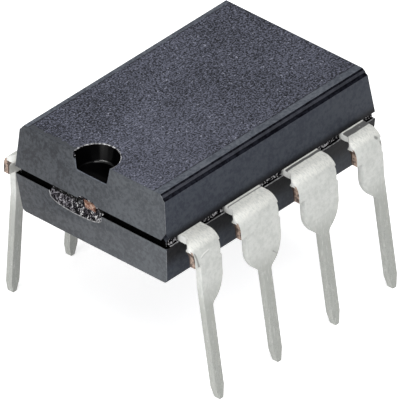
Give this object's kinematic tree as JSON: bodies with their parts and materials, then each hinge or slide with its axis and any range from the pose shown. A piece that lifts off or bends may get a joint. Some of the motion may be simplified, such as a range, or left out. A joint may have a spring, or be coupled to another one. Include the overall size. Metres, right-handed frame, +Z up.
{
  "type": "dip integrated circuit chip",
  "caption": "Plastic dual in-line integrated circuit with an end index notch and two rows of bent, tin plated leads for through-hole boards or sockets.",
  "frame": {"origin": "centre of the two lead rows, at the level of the lead tips", "axes": "+X along the body away from the index notch, +Y towards the row of leads 5 to 8, +Z up out of the top face"},
  "size_m": [0.0092, 0.0088, 0.007],
  "materials": {
    "mould_compound": "matte moulded epoxy, sandy top face",
    "tin_plate": "matte tin plate, lightly scratched",
    "bare_copper": "cut bare copper alloy",
    "silver_epoxy": "cured silver filled adhesive",
    "silicon": "polished silicon",
    "gold_wire": "bare gold wire"
  },
  "bodies": {
    "root": {"moulded_body": "mould_compound", "lead_1": "tin_plate", "lead_2": "tin_plate", "lead_3": "tin_plate", "lead_4": "tin_plate", "lead_5": "tin_plate", "lead_6": "tin_plate", "lead_7": "tin_plate", "lead_8": "tin_plate", "die_paddle": "bare_copper", "die_attach": "silver_epoxy", "silicon_die": "silicon", "bond_wire_1": "gold_wire", "bond_wire_2": "gold_wire", "bond_wire_3": "gold_wire", "bond_wire_4": "gold_wire", "bond_wire_5": "gold_wire", "bond_wire_6": "gold_wire", "bond_wire_7": "gold_wire", "bond_wire_8": "gold_wire"}
  },
  "joints": []
}
